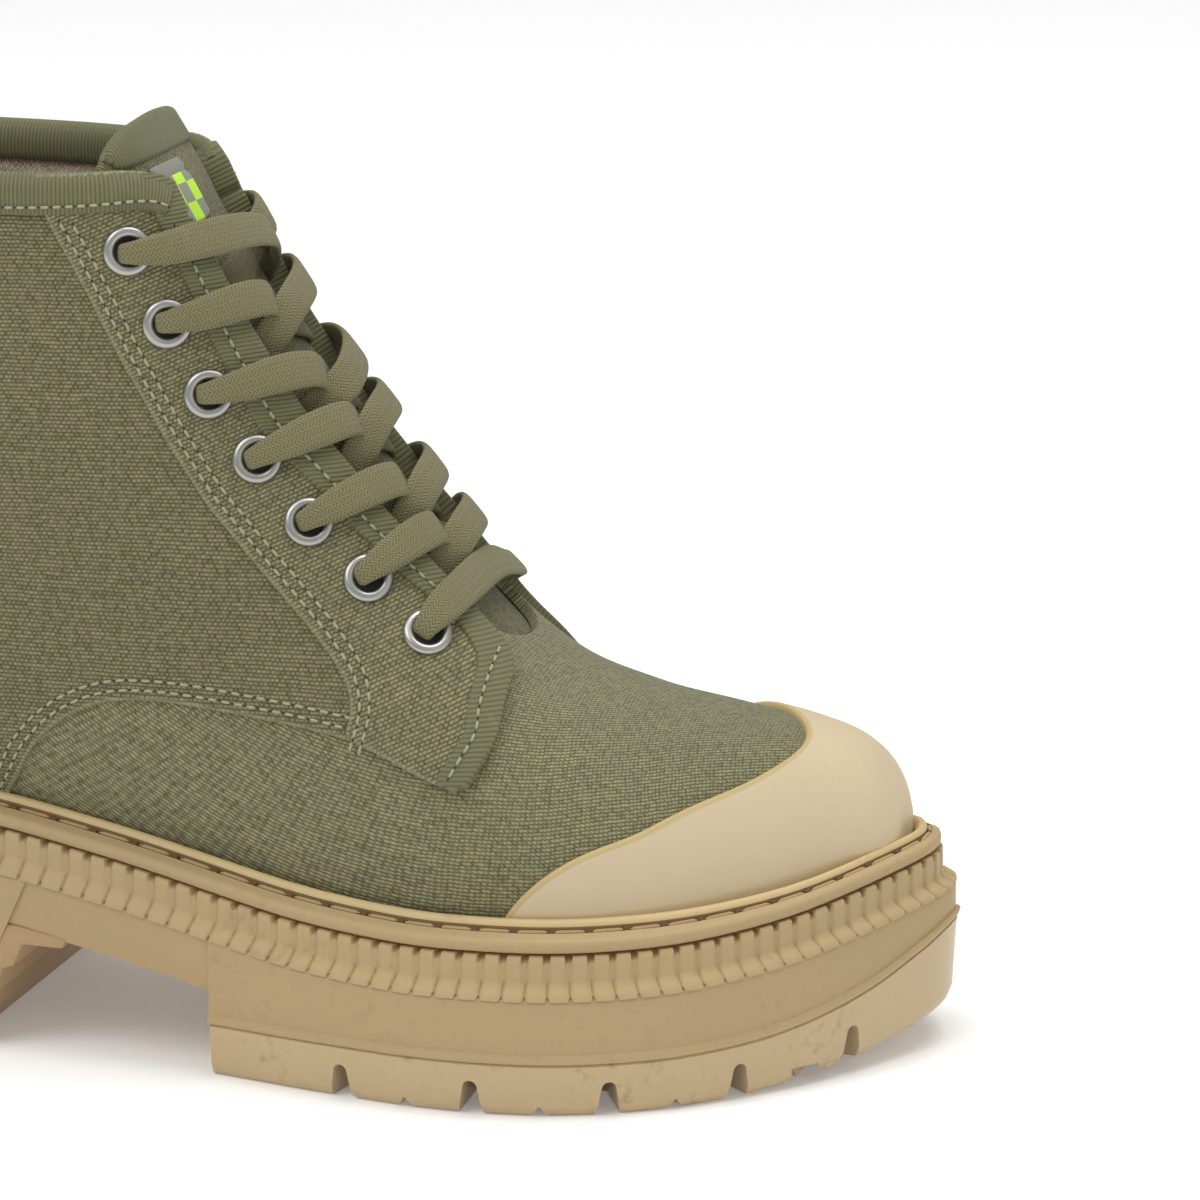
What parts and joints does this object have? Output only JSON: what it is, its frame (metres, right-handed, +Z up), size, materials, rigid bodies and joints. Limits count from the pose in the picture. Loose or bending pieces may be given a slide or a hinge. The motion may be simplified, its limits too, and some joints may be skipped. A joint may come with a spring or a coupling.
{
  "type": "canvas ankle boot",
  "caption": "Lace-up canvas ankle boot with a rubber toe cap, a stitched welt over a ribbed platform midsole and a lugged rubber outsole.",
  "frame": {"origin": "on the floor, under the middle of the boot's bounding box", "axes": "+X towards the toe, +Z up, -Y towards the outer (lateral) side of this right shoe"},
  "size_m": [0.2818, 0.107, 0.1857],
  "materials": {
    "canvas": "matt coarse olive canvas",
    "canvas_tape": "ribbed olive tape",
    "cap_rubber": "matt pale tan",
    "midsole_foam": "satin tan",
    "gum_rubber": "translucent brown gum",
    "lining": "matt beige lining",
    "lace": "flat khaki braid",
    "metal": "satin nickel"
  },
  "bodies": {
    "root": {"midsole": "midsole_foam", "outsole_forefoot": "gum_rubber", "outsole_heel": "gum_rubber", "ribbed_band": "midsole_foam", "welt": "midsole_foam", "insole": "lining", "upper": "canvas", "toe_cap": "cap_rubber", "collar_binding": "canvas_tape", "tongue": "canvas", "eyelet_lateral_1": "metal", "eyelet_lateral_2": "metal", "eyelet_lateral_3": "metal", "eyelet_lateral_4": "metal", "eyelet_lateral_5": "metal", "eyelet_lateral_6": "metal", "eyelet_lateral_7": "metal", "eyelet_medial_1": "metal", "eyelet_medial_2": "metal", "eyelet_medial_3": "metal", "eyelet_medial_4": "metal", "eyelet_medial_5": "metal", "eyelet_medial_6": "metal", "eyelet_medial_7": "metal", "lace_crossing_1": "lace", "lace_crossing_2": "lace", "lace_crossing_3": "lace", "lace_crossing_4": "lace", "lace_crossing_5": "lace", "lace_crossing_6": "lace", "lace_bar": "lace"}
  },
  "joints": []
}
